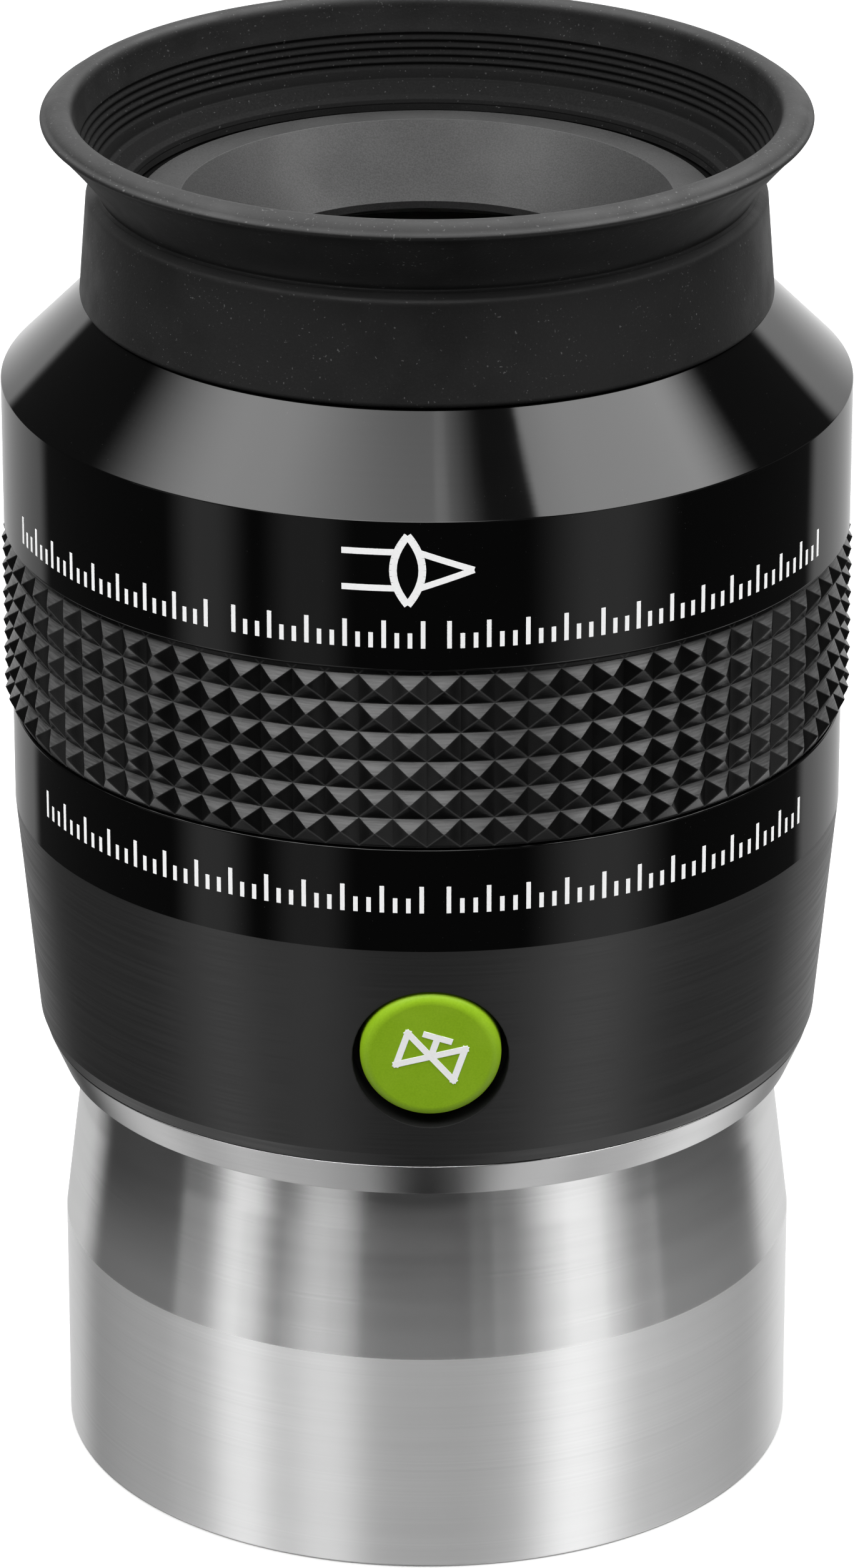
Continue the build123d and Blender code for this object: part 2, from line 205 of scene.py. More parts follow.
class Graph:
    """Short names for building a node tree."""

    def __init__(self, tree):
        self.tree = tree

    def add(self, kind, inputs=None, **settings):
        """A node of a kind, with its settings, and its inputs by name or number."""
        node = self.tree.nodes.new(kind)
        for key, value in settings.items():
            setattr(node, key, value)
        for key, value in (inputs or {}).items():
            self.plug(node.inputs[key], value)
        return node

    def plug(self, socket, value):
        """Feeds a socket from another socket, or sets it to a number."""
        if isinstance(value, bpy.types.NodeSocket):
            self.tree.links.new(value, socket)
        else:
            socket.default_value = value

    def math(self, operation, a, b=0.0):
        """Result of one maths node."""
        node = self.add("ShaderNodeMath", {0: a, 1: b}, operation=operation)
        return node.outputs[0]

    def times(self, first, *others):
        """Product of sockets or numbers."""
        for other in others:
            first = self.math("MULTIPLY", first, other)
        return first

    def plus(self, first, *others):
        """Sum of sockets or numbers."""
        for other in others:
            first = self.math("ADD", first, other)
        return first

    def less(self, first, other):
        """First less the other."""
        return self.math("SUBTRACT", first, other)

    def ramp(self, value, low, high, to_low=0.0, to_high=1.0):
        """Smooth step from to_low to to_high as value goes from low to high."""
        inputs = {
            "Value": value,
            "From Min": low,
            "From Max": high,
            "To Min": to_low,
            "To Max": to_high,
        }
        node = self.add("ShaderNodeMapRange", inputs, interpolation_type="SMOOTHSTEP")
        return node.outputs[0]

    def mix(self, factor, a, b):
        """Colour a where the factor is 0, and b where it is 1. Sockets 6 and 7 are the colours."""
        node = self.add("ShaderNodeMix", data_type="RGBA")
        self.plug(node.inputs[0], factor)
        self.plug(node.inputs[6], a)
        self.plug(node.inputs[7], b)
        return node.outputs[2]

    def noise(self, vector, size_mm, detail=2.0, rough=0.5):
        """Noise with features about size_mm across."""
        scale = 1000.0 / size_mm
        inputs = {"Vector": vector, "Scale": scale, "Detail": detail, "Roughness": rough}
        return self.add("ShaderNodeTexNoise", inputs).outputs["Fac"]

    def streaks(self, place, across, along):
        """Noise drawn out round the axis: features are across mm wide round it, along mm high."""
        wide, high = 1000.0 / across, 1000.0 / along
        inputs = {"Vector": place, "Scale": (wide, wide, high)}
        drawn = self.add("ShaderNodeMapping", inputs).outputs[0]
        return self.add("ShaderNodeTexNoise", {"Vector": drawn, "Scale": 1.0}).outputs["Fac"]

    def rings(self, height, size_mm):
        """Noise that only changes with height: rings about size_mm high, even all the way round."""
        inputs = {"W": height, "Scale": 1000.0 / size_mm, "Detail": 2.0}
        return self.add("ShaderNodeTexNoise", inputs, noise_dimensions="1D").outputs["Fac"]

    def bump(self, height, strength, distance_mm, normal=None):
        """Normal of a surface with this relief, laid over another normal if one is given."""
        inputs = {"Height": height, "Strength": strength, "Distance": distance_mm * MM}
        node = self.add("ShaderNodeBump", inputs)
        if normal is not None:
            self.plug(node.inputs["Normal"], normal)
        return node.outputs["Normal"]


def grey(value):
    """A grey as a colour with alpha."""
    return (value, value, value, 1.0)


def new_material(name, **sockets):
    """A Principled material, with sockets as its fixed numbers.

    Returns the material, its graph, its shader and the object's own coordinates.
    """
    made = bpy.data.materials.new(name)
    made.use_nodes = True
    tree = made.node_tree
    tree.nodes.clear()
    graph = Graph(tree)
    shader = graph.add("ShaderNodeBsdfPrincipled")
    output = graph.add("ShaderNodeOutputMaterial")
    tree.links.new(shader.outputs[0], output.inputs[0])
    for key, value in sockets.items():
        shader.inputs[key.replace("_", " ")].default_value = value
    place = graph.add("ShaderNodeTexCoord").outputs["Object"]
    return made, graph, shader, place


# ---- materials ----------------------------------------------------------------


def make_turned_metal():
    """Bright metal, turned round its axis: fine rings of uneven depth and a faint bloom."""
    along_rings = 0.25
    satin_top = 25.0
    made, graph, shader, place = new_material(
        "turned_metal", Anisotropic=1.0, Anisotropic_Rotation=along_rings
    )
    rise = graph.add("ShaderNodeSeparateXYZ", {0: place}).outputs["Z"]
    fine = graph.rings(rise, 0.22)
    coarse = graph.rings(rise, 1.3)
    worn = graph.streaks(place, 14.0, 1.1)
    lines = graph.mix(graph.ramp(worn, 0.35, 0.65), grey(0.5), fine)
    tone = graph.mix(lines, grey(0.66), grey(0.76))
    tone = graph.mix(graph.ramp(coarse, 0.35, 0.7, 0.0, 0.12), tone, grey(0.82))
    # The flange ring's darker tone is painted shade, and the guide is duller than the undercut
    # above it.
    flange = graph.ramp(rise, (UNDERCUT_TOP - 0.1) * MM, (UNDERCUT_TOP + 0.1) * MM, 0.0, 0.62)
    tone = graph.mix(flange, tone, grey(0.26))
    above_guide = graph.ramp(rise, (GUIDE_TOP - 0.05) * MM, (GUIDE_TOP + 0.1) * MM)
    finish = graph.ramp(above_guide, 0.0, 1.0, 0.31, 0.205)
    rough = graph.plus(finish, graph.ramp(worn, 0.3, 0.7, -0.006, 0.006))
    satin = graph.ramp(rise, GUIDE_TOP * MM, satin_top * MM, 0.88, 1.0)
    bare = graph.ramp(above_guide, 0.0, 1.0, 0.76, 1.0)
    graph.plug(shader.inputs["Metallic"], graph.times(satin, bare))
    tangent = graph.add("ShaderNodeTangent", direction_type="RADIAL", axis="Z")
    graph.plug(shader.inputs["Base Color"], tone)
    graph.plug(shader.inputs["Roughness"], rough)
    graph.plug(shader.inputs["Tangent"], tangent.outputs[0])
    graph.plug(shader.inputs["Normal"], graph.bump(fine, 0.06, 0.02))
    return made


def make_gloss_black():
    """Polished black anodising, with faint dust and a slight waviness."""
    made, graph, shader, place = new_material("gloss_black", IOR=1.33)
    dust = graph.noise(place, 0.09, 1.0)
    specks = graph.ramp(dust, 0.79, 0.84)
    cloud = graph.noise(place, 7.0)
    graph.plug(shader.inputs["Base Color"], graph.mix(specks, grey(0.0012), grey(0.05)))
    graph.plug(shader.inputs["Roughness"], graph.ramp(cloud, 0.3, 0.7, 0.035, 0.075))
    graph.plug(shader.inputs["Normal"], graph.bump(graph.streaks(place, 30.0, 0.25), 0.05, 0.01))
    return made


def make_satin_black():
    """Satin black anodising over fine turning lines."""
    made, graph, shader, place = new_material("satin_black", IOR=1.42)
    fine = graph.streaks(place, 14.0, 0.2)
    grain = graph.noise(place, 0.12)
    cloud = graph.noise(place, 11.0)
    tone = graph.mix(cloud, grey(0.013), grey(0.019))
    tone = graph.mix(graph.ramp(grain, 0.45, 0.75, 0.0, 0.3), tone, grey(0.022))
    graph.plug(shader.inputs["Base Color"], tone)
    graph.plug(shader.inputs["Roughness"], graph.ramp(fine, 0.3, 0.7, 0.28, 0.36))
    normal = graph.bump(fine, 0.1, 0.02)
    graph.plug(shader.inputs["Normal"], graph.bump(grain, 0.08, 0.01, normal))
    return made


def make_eyecup_rubber():
    """Soft matte rubber with fine pale specks, cloudy where hands touch it."""
    handled_from, handled_to = 94.6, 95.6
    made, graph, shader, place = new_material("eyecup_rubber", IOR=1.32)
    grain = graph.noise(place, 0.16, 3.0, 0.6)
    pits = graph.noise(place, 0.3, 2.0)
    cloud = graph.noise(place, 3.5, 3.0)
    rise = graph.add("ShaderNodeSeparateXYZ", {0: place}).outputs["Z"]
    handled = graph.ramp(rise, handled_from * MM, handled_to * MM)
    dust = graph.plus(graph.noise(place, 0.2, 1.0), graph.ramp(cloud, 0.35, 0.75, -0.03, 0.03))
    specks = graph.ramp(graph.plus(dust, graph.times(handled, 0.03)), 0.7, 0.78)
    tone = graph.mix(cloud, grey(0.0065), grey(0.0105))
    tone = graph.mix(graph.ramp(grain, 0.5, 0.8, 0.0, 0.4), tone, grey(0.02))
    tone = graph.mix(specks, tone, grey(0.07))
    tone = graph.mix(graph.times(handled, 0.35), tone, grey(0.0012))
    graph.plug(shader.inputs["Base Color"], tone)
    graph.plug(shader.inputs["Roughness"], graph.ramp(cloud, 0.3, 0.7, 0.5, 0.62))
    normal = graph.bump(pits, 0.15, 0.05)
    graph.plug(shader.inputs["Normal"], graph.bump(grain, 0.22, 0.03, normal))
    return made


def make_grip_rubber():
    """Moulded rubber with drag lines and lighter ridges; the facets facing up are painted lighter,
    a painted highlight from the light above.
    """
    made, graph, shader, place = new_material("grip_rubber", IOR=1.28)
    lines = graph.streaks(place, 1.6, 0.1)
    grain = graph.noise(place, 0.14, 2.0)
    cloud = graph.noise(place, 2.6, 2.0)
    facing = graph.add("ShaderNodeTexCoord").outputs["Normal"]
    upward = graph.add("ShaderNodeSeparateXYZ", {0: facing}).outputs["Z"]
    # Lighter colour for the facets facing up: a painted highlight from the light above.
    lit_facet_tone = graph.mix(graph.ramp(lines, 0.3, 0.7), grey(0.03), grey(0.058))
    tone = graph.mix(cloud, grey(0.0015), grey(0.0035))
    # The pyramids' ridges are where the rise across a column equals the rise up its row.
    parts = graph.add("ShaderNodeSeparateXYZ", {0: place}).outputs
    turned = graph.math("ARCTAN2", parts["X"], graph.times(parts["Y"], -1.0))
    column = graph.times(turned, GRIP_COLUMNS / (2 * math.pi))
    column = graph.math("FRACT", graph.plus(column, GRIP_TURN))
    row = graph.less(parts["Z"], (GRIP_BOTTOM + GRIP_LOW_RIM) * MM)
    row = graph.math("FRACT", graph.math("DIVIDE", row, GRIP_ROW_HEIGHT * MM))
    below = graph.math("DIVIDE", row, GRIP_PEAK)
    above = graph.math("DIVIDE", graph.less(1.0, row), 1 - GRIP_PEAK)
    beside = graph.times(graph.math("PINGPONG", column, 0.5), 2.0)
    height = graph.math("MINIMUM", below, above)
    ridge = graph.math("ABSOLUTE", graph.less(beside, height))
    ridge = graph.ramp(ridge, 0.02, 0.11, 0.55, 0.0)
    tone = graph.mix(ridge, tone, grey(0.05))
    tone = graph.mix(graph.ramp(height, 0.03, 0.1, 0.4, 0.0), tone, grey(0.05))
    # Facets facing up take the lighter colour: painted highlight.
    tone = graph.mix(graph.ramp(upward, 0.35, 0.55), tone, lit_facet_tone)
    graph.plug(shader.inputs["Base Color"], tone)
    graph.plug(shader.inputs["Roughness"], graph.ramp(cloud, 0.3, 0.7, 0.22, 0.3))
    normal = graph.bump(lines, 0.16, 0.03)
    graph.plug(shader.inputs["Normal"], graph.bump(grain, 0.12, 0.02, normal))
    return made


def make_green_plastic():
    """Satin green plastic with a fine speckle."""
    made, graph, shader, place = new_material("green_plastic", Roughness=0.45, IOR=1.25)
    speckle = graph.noise(place, 0.13, 2.0, 0.7)
    cloud = graph.noise(place, 2.2)
    deep, bright = (0.17, 0.32, 0.004, 1.0), (0.26, 0.44, 0.015, 1.0)
    faded = (0.28, 0.45, 0.025, 1.0)
    tone = graph.mix(speckle, deep, bright)
    tone = graph.mix(graph.ramp(cloud, 0.3, 0.8, 0.0, 0.3), tone, faded)
    graph.plug(shader.inputs["Base Color"], tone)
    graph.plug(shader.inputs["Normal"], graph.bump(speckle, 0.15, 0.02))
    return made


def make_white_ink():
    """White silk-screen ink, slightly uneven."""
    made, graph, shader, place = new_material("white_ink", Roughness=0.45)
    cover = graph.noise(place, 0.12, 2.0)
    tone = graph.mix(cover, grey(0.86), grey(0.96))
    graph.plug(shader.inputs["Base Color"], tone)
    graph.plug(shader.inputs["Normal"], graph.bump(cover, 0.2, 0.01))
    return made


def make_bezel_grey():
    """Fine bead-blasted dark grey ring round the eye lens."""
    made, graph, shader, place = new_material("bezel_grey", IOR=1.36)
    grain = graph.noise(place, 0.11, 2.0, 0.7)
    cloud = graph.noise(place, 6.0)
    tone = graph.mix(graph.ramp(grain, 0.3, 0.7), grey(0.007), grey(0.019))
    graph.plug(shader.inputs["Base Color"], tone)
    graph.plug(shader.inputs["Roughness"], graph.ramp(cloud, 0.3, 0.7, 0.5, 0.6))
    graph.plug(shader.inputs["Normal"], graph.bump(grain, 0.3, 0.02))
    return made


def make_flat_black():
    """Anti-reflection black paint inside the eyepiece; in the purge pocket it is painted shade."""
    made, graph, shader, place = new_material("flat_black", IOR=1.3)
    grain = graph.noise(place, 0.1, 2.0, 0.7)
    graph.plug(shader.inputs["Base Color"], graph.mix(grain, grey(0.006), grey(0.014)))
    graph.plug(shader.inputs["Roughness"], graph.ramp(grain, 0.3, 0.7, 0.6, 0.8))
    graph.plug(shader.inputs["Normal"], graph.bump(grain, 0.3, 0.02))
    return made


def make_seal_rubber():
    """Smooth seal rubber with a light grease film."""
    made, graph, shader, place = new_material("seal_rubber", IOR=1.45)
    film = graph.noise(place, 0.8, 2.0)
    graph.plug(shader.inputs["Base Color"], graph.mix(film, grey(0.008), grey(0.016)))
    graph.plug(shader.inputs["Roughness"], graph.ramp(film, 0.3, 0.7, 0.3, 0.5))
    return made


def make_screw_steel():
    """Small machined screw."""
    made, graph, shader, place = new_material("screw_steel", Metallic=1.0)
    grain = graph.noise(place, 0.1, 2.0)
    graph.plug(shader.inputs["Base Color"], graph.mix(grain, grey(0.42), grey(0.6)))
    graph.plug(shader.inputs["Roughness"], graph.ramp(grain, 0.3, 0.7, 0.25, 0.4))
    return made


def make_coated_glass():
    """Optical glass with a thin anti-reflection coating."""
    made, graph, shader, place = new_material(
        "coated_glass",
        Roughness=0.0,
        IOR=1.52,
        Transmission_Weight=1.0,
        Thin_Film_Thickness=105.0,
        Thin_Film_IOR=1.37,
    )
    cloud = graph.noise(place, 5.0)
    tone = graph.mix(cloud, (0.93, 0.97, 0.95, 1.0), (0.95, 0.98, 0.97, 1.0))
    graph.plug(shader.inputs["Base Color"], tone)
    return made


def make_shaded_inner_rubber():
    """The eyecup's rubber on its inside, darker as painted shade in the cup's hollow, and quite
    matte.
    """
    made, graph, shader, place = new_material("shaded_inner_rubber", IOR=1.15)
    grain = graph.noise(place, 0.16, 3.0, 0.6)
    specks = graph.ramp(graph.noise(place, 0.2, 1.0), 0.7, 0.78)
    tone = graph.mix(specks, graph.mix(grain, grey(0.0018), grey(0.0042)), grey(0.03))
    graph.plug(shader.inputs["Base Color"], tone)
    graph.plug(shader.inputs["Roughness"], graph.ramp(grain, 0.3, 0.7, 0.6, 0.75))
    graph.plug(shader.inputs["Normal"], graph.bump(grain, 0.2, 0.03))
    return made


MATERIALS = {
    "bright_steel": make_turned_metal(),
    "gloss_black": make_gloss_black(),
    "satin_black": make_satin_black(),
    "eyecup_rubber": make_eyecup_rubber(),
    "grip_rubber": make_grip_rubber(),
    "green_cap": make_green_plastic(),
    "bezel_black": make_bezel_grey(),
    "blackened": make_flat_black(),
    "seal_rubber": make_seal_rubber(),
    "screw_steel": make_screw_steel(),
    "coated_glass": make_coated_glass(),
}
WHITE_INK = make_white_ink()
# A darker copy of the eyecup's rubber, painted shade for the cup's inside.
SHADED_INNER_RUBBER = make_shaded_inner_rubber()


def paint(obj, *materials):
    """Gives an object these materials, in place of any it has."""
    obj.data.materials.clear()
    for each in materials:
        obj.data.materials.append(each)
    return obj


# ---- barrel -------------------------------------------------------------------


def zigzag(radius, depth, bottom, top, pitch, flat=0.15):
    """Points of ring grooves going up a bore, from its wall radius out to radius + depth."""
    points = []
    count = int((top - bottom) / pitch)
    for i in range(count):
        z = bottom + i * pitch
        points += [(radius, z), (radius, z + flat * pitch), (radius + depth, z + pitch / 2)]
    points.append((radius, bottom + count * pitch))
    return points


def make_barrel():
    """Barrel: guide, undercut and flange outside; filter thread and baffle grooves inside."""
    foot_chamfer = 0.12
    baffle_bottom, baffle_top, baffle_depth = 8.0, 26.0, 0.4
    thread_bottom, thread_depth = 0.6, 0.35
    outside = [
        (BARREL_RADIUS - foot_chamfer, 0, 0.03),
        (BARREL_RADIUS, foot_chamfer, 0.06),
        (BARREL_RADIUS, GUIDE_TOP, 0.08),
        (UNDERCUT_RADIUS + 0.2, 25.0, 12.0),
        (UNDERCUT_RADIUS, UNDERCUT_TOP, 0.05),
        (BARREL_RADIUS + 0.1, UNDERCUT_TOP, 0.12),
        (FLANGE_RADIUS, BODY_BOTTOM, 0.05),
        (JOINT_RADIUS, BODY_BOTTOM),
        (JOINT_RADIUS, JOINT_TOP),
        (BARREL_BORE, JOINT_TOP),
        (BARREL_BORE, baffle_top + 0.2),
    ]
    baffles = zigzag(BARREL_BORE, baffle_depth, baffle_bottom, baffle_top, THREAD_PITCH)
    thread = zigzag(THREAD_RADIUS, thread_depth, thread_bottom, THREAD_TOP, THREAD_PITCH)
    inside = baffles[::-1] + [(BARREL_BORE, THREAD_TOP + 0.7)]
    inside += thread[::-1] + [(THREAD_RADIUS + 0.4, 0, 0.05)]
    piece = lathe("barrel_shell", softened(outside + inside))
    paint(piece, MATERIALS["bright_steel"], MATERIALS["blackened"])
    # Flat black inside, above the filter thread.
    bore = (BARREL_RADIUS - 1.3) * MM
    for face in piece.data.polygons:
        inner = math.hypot(face.center.x, face.center.y) < bore
        if inner and face.center.z > (THREAD_TOP + 0.2) * MM:
            face.material_index = 1
    return put(piece, "root", "bright_steel", "barrel")


# ---- lower housing, with the purge pocket ---------------------------------------


def taper_radius(z):
    """Radius of the tapered body at a height."""
    slope = (BAND_RADIUS - BODY_BOTTOM_RADIUS) / (BAND_BOTTOM - TAPER_BOTTOM)
    return BODY_BOTTOM_RADIUS + slope * (z - TAPER_BOTTOM)


def pocket_matrix():
    """Placing of the purge pocket: its Z is the pocket's outward axis. Millimetres."""
    lean = math.atan2(BAND_RADIUS - BODY_BOTTOM_RADIUS, BAND_BOTTOM - TAPER_BOTTOM)
    outward = Vector((0, -math.cos(lean), -math.sin(lean)))
    side = Vector((1, 0, 0))
    up = outward.cross(side)
    turn = Matrix((side, up, outward)).transposed().to_4x4()
    return Matrix.Translation((0, -taper_radius(CAP_Z), CAP_Z)) @ turn


def on_taper(angle, radius, matrix):
    """Where a line along the pocket's axis, at that angle and radius from it, meets the taper."""
    low, high = -4.0, 4.0
    halvings = 40
    for _ in range(halvings):
        middle = (low + high) / 2
        point = matrix @ Vector((radius * math.cos(angle), radius * math.sin(angle), middle))
        if math.hypot(point.x, point.y) > taper_radius(point.z):
            high = middle
        else:
            low = middle
    return point, middle


def make_lower_housing():
    """The housing is a lathe shell with a window, filled by rings that close in on the pocket."""
    segments = 288
    window_half = 10
    window_low, window_high, levels = 33.4, 46.8, 14
    band_top = GRIP_BOTTOM - 0.1
    head_seat, seat_floor = 25.5, 45.8
    ledge_radius, ledge_top = 21.5, 38.0
    field_bore, field_floor = 19.0, 36.5
    taper = []
    for i in range(levels + 1):
        z = window_low + (window_high - window_low) * i / levels
        taper.append((taper_radius(z), z))
    bottom = softened([
        (BODY_BORE, BODY_BOTTOM + 0.05),
        (FLANGE_RADIUS, BODY_BOTTOM + 0.05, 0.1),
        (BODY_BOTTOM_RADIUS, TAPER_BOTTOM, 0.12),
        (taper_radius(window_low), window_low),
    ], closed=False)
    top = softened([
        (taper_radius(window_high), window_high),
        (BAND_RADIUS, BAND_BOTTOM, 0.3),
        (BAND_RADIUS, band_top, 0.12),
        (head_seat, band_top),
        (head_seat, seat_floor),
        (ledge_radius, seat_floor),
        (ledge_radius, ledge_top),
        (field_bore, ledge_top),
        (field_bore, field_floor),
        (BODY_BORE, field_floor),
    ], closed=False)
    outline = bottom[:-1] + taper + top[1:]
    first = len(bottom) - 1
    verts = []
    for r, z in outline:
        for k in range(segments):
            angle = 2 * math.pi * k / segments
            verts.append((r * math.sin(angle), -r * math.cos(angle), z))

    def index(i, k):
        """Number of the vertex at outline point i and segment k."""
        return (i % len(outline)) * segments + k % segments

    faces = []
    for i in range(len(outline)):
        for k in range(-segments // 2, segments // 2):
            in_window = first <= i < first + levels and -window_half <= k < window_half
            if not in_window:
                faces.append([index(i, k), index(i, k + 1), index(i + 1, k + 1), index(i + 1, k)])
    last = first + levels
    border = [index(first, k) for k in range(-window_half, window_half)]
    border += [index(i, window_half) for i in range(first, last)]
    border += [index(last, k) for k in range(window_half, -window_half, -1)]
    border += [index(i, -window_half) for i in range(last, first, -1)]
    add_pocket(verts, faces, border)
    piece = new_object("lower_body", verts, faces, sharp=28.0)
    paint(piece, MATERIALS["satin_black"], MATERIALS["gloss_black"], MATERIALS["blackened"])
    # Gloss black from the band up; the pocket gets the flat black, darker than the satin, as
    # painted shade in the recess.
    inverse = pocket_matrix().inverted()
    for face in piece.data.polygons:
        local = inverse @ (face.center / MM)
        if face.center.z > (BAND_BOTTOM + 0.02) * MM:
            face.material_index = 1
        elif math.hypot(local.x, local.y) < POCKET_RADIUS + 0.02 and local.z > -2 * POCKET_DEPTH:
            face.material_index = 2
    return put(piece, "root", "satin_black", "lower_housing")


def add_pocket(verts, faces, border):
    """Rings from the window's border in to the pocket's rim, then down its wall to its floor."""
    matrix = pocket_matrix()
    inverse = matrix.inverted()
    angles = []
    for v in border:
        local = inverse @ Vector(verts[v])
        angles.append(math.atan2(local.y, local.x))
    edge, edge_bottom = 0.05, 0.16
    rings = [border]
    for share in (0.75, 0.5, 0.28, 0.12, 0.04, 0.0):
        ring = []
        for v, angle in zip(border, angles):
            rim, _ = on_taper(angle, POCKET_RADIUS + edge, matrix)
            point = rim.lerp(Vector(verts[v]), share)
            radius = taper_radius(point.z)
            flat = math.hypot(point.x, point.y)
            ring.append((point.x * radius / flat, point.y * radius / flat, point.z))
        rings.append(add_ring(verts, ring))
    for turn in (30, 60, 90):
        radius = POCKET_RADIUS + edge - edge * math.sin(math.radians(turn))
        sink = edge - edge * math.cos(math.radians(turn))
        rings.append(add_ring(verts, [sunk(angle, radius, sink, matrix) for angle in angles]))
    wall = [sunk(angle, POCKET_RADIUS, edge_bottom, matrix) for angle in angles]
    rings.append(add_ring(verts, wall))
    port_floor = POCKET_DEPTH + PORT_DEPTH
    steps = (POCKET_RADIUS, POCKET_DEPTH), (PORT_RADIUS, POCKET_DEPTH), (PORT_RADIUS, port_floor)
    for radius, depth in steps:
        circle = [(radius * math.cos(a), radius * math.sin(a), -depth) for a in angles]
        rings.append(add_ring(verts, [matrix @ Vector(point) for point in circle]))
    for outer, inner in zip(rings, rings[1:]):
        for k in range(len(border)):
            m = (k + 1) % len(border)
            faces.append([outer[k], outer[m], inner[m], inner[k]])
    faces.append(rings[-1])


def sunk(angle, radius, sink, matrix):
    """A point at an angle and radius from the pocket's axis, sunk below the taper's surface."""
    _, height = on_taper(angle, radius, matrix)
    return matrix @ Vector((radius * math.cos(angle), radius * math.sin(angle), height - sink))


def add_ring(verts, ring):
    """Adds a ring of points and returns their numbers."""
    start = len(verts)
    verts.extend(tuple(p) for p in ring)
    return list(range(start, start + len(ring)))


# ---- head, grip and eyecup --------------------------------------------------------


def make_head():
    """Head: spigot into the lower body, grip seat, cylinder, cone and eyecup neck."""
    spigot_bottom, spigot_radius = 46.0, 25.45
    seat_bottom, grip_ledge = GRIP_BOTTOM - 0.05, GRIP_TOP + 0.1
    bezel_bore, bezel_floor = BEZEL_RADIUS + 0.05, BEZEL_BOTTOM - 0.1
    lens_bore, lens_floor = EYE_LENS_RADIUS + 0.05, 80.6
    cell_bore, cell_roof = 15.0, 79.0
    outline = softened([
        (BODY_BORE, spigot_bottom),
        (spigot_radius, spigot_bottom),
        (spigot_radius, seat_bottom),
        (GRIP_SEAT, seat_bottom),
        (GRIP_SEAT, grip_ledge),
        (HEAD_RADIUS, grip_ledge, 0.15),
        (HEAD_RADIUS, HEAD_SHOULDER, 0.12),
        (CONE_TOP_RADIUS, CONE_TOP, 0.05),
        (NECK_RADIUS, CONE_TOP),
        (NECK_RADIUS, NECK_TOP, 0.3),
        (bezel_bore, NECK_TOP, 0.1),
        (bezel_bore, bezel_floor),
        (lens_bore, bezel_floor),
        (lens_bore, lens_floor),
        (cell_bore, lens_floor),
        (cell_bore, cell_roof),
        (BODY_BORE, cell_roof),
    ])
    piece = paint(lathe("head_shell", outline), MATERIALS["gloss_black"])
    return put(piece, "root", "gloss_black", "upper_housing")


def tent(share):
    """0 at both borders of a cell and 1 half way."""
    return 1 - abs(2 * (share % 1) - 1)


def pyramid(u, v):
    """Height of a pyramid over its cell, with slightly worn ridges and a narrow valley."""
    ridge = 0.03
    valley, point = 0.03, 0.96
    a, b = tent(u), tent(v)
    blend = max(0.0, 1 - abs(a - b) / ridge)
    height = min(a, b) - 0.25 * ridge * blend * blend
    return min(max(height, valley), point)


def row_height(row):
    """Height, in rows, at a row number that counts steps: half of a row's steps reach its point."""
    whole = math.floor(row)
    share = row - whole
    if share < 0.5:
        return whole + 2 * GRIP_PEAK * share
    return whole + 1 - 2 * (1 - GRIP_PEAK) * (1 - share)


def make_grip():
    """Grip ring: rows of pyramids as one fine sheet, closed by rims and a plain inner wall."""
    steps = 10
    around = GRIP_COLUMNS * steps
    up = GRIP_ROWS * steps
    inner = GRIP_SEAT + 0.05
    rim = GRIP_BASE + 0.1
    levels = [(inner, GRIP_BOTTOM, 0), (GRIP_BASE - 0.05, GRIP_BOTTOM, 0)]
    first = len(levels)
    for j in range(up + 1):
        z = GRIP_BOTTOM + GRIP_LOW_RIM + GRIP_ROW_HEIGHT * row_height(j / steps)
        levels.append((GRIP_BASE, z, j / steps))
    levels += [
        (rim, GRIP_TOP - GRIP_HIGH_RIM + 0.1, 0),
        (rim, GRIP_TOP - 0.08, 0),
        (GRIP_BASE + 0.02, GRIP_TOP, 0),
        (inner, GRIP_TOP, 0),
    ]
    verts = []
    for radius, z, row in levels:
        for k in range(around):
            rise = (GRIP_POINT - GRIP_BASE) * pyramid(k / steps, row) if row else 0
            angle = 2 * math.pi * (k - GRIP_TURN * steps) / around
            r = radius + rise
            verts.append((r * math.sin(angle), -r * math.cos(angle), z))
    faces = []
    for i in range(len(levels)):
        n = (i + 1) % len(levels)
        for k in range(around):
            m = (k + 1) % around
            corners = [i * around + k, i * around + m, n * around + m, n * around + k]
            if not first <= i < first + up:
                faces.append(corners)
                continue
            # Quads split along the ridges, which cross them from corner to corner.
            rising = (k % steps < steps // 2) == ((i - first) % steps < steps // 2)
            a, b, c, d = corners if rising else corners[1:] + corners[:1]
            faces += [[a, b, c], [a, c, d]]
    piece = new_object("grip_sleeve", verts, faces, sharp=24.0)
    paint(piece, MATERIALS["grip_rubber"])
    return put(piece, "root", "grip_rubber", "grip_ring")


def arc_points(start, through, end, steps):
    """Points of a smooth curve from start to end through the middle point, without the first."""
    points = []
    a, m, b = Vector(start), Vector(through), Vector(end)
    control = 2 * m - (a + b) / 2
    for i in range(1, steps + 1):
        t = i / steps
        p = a * (1 - t) ** 2 + control * 2 * t * (1 - t) + b * t * t
        points.append((p.x, p.y))
    return points


def rib_points(low, high, count, depth, steps=8):
    """A ribbed stretch of the inner wall, from its top down."""
    points = []
    total = count * steps
    for i in range(total + 1):
        t = i / total
        r = high[0] + (low[0] - high[0]) * t
        z = high[1] + (low[1] - high[1]) * t
        wave = 0.5 - 0.5 * math.cos(2 * math.pi * count * t)
        points.append((r + depth * wave, z))
    return points


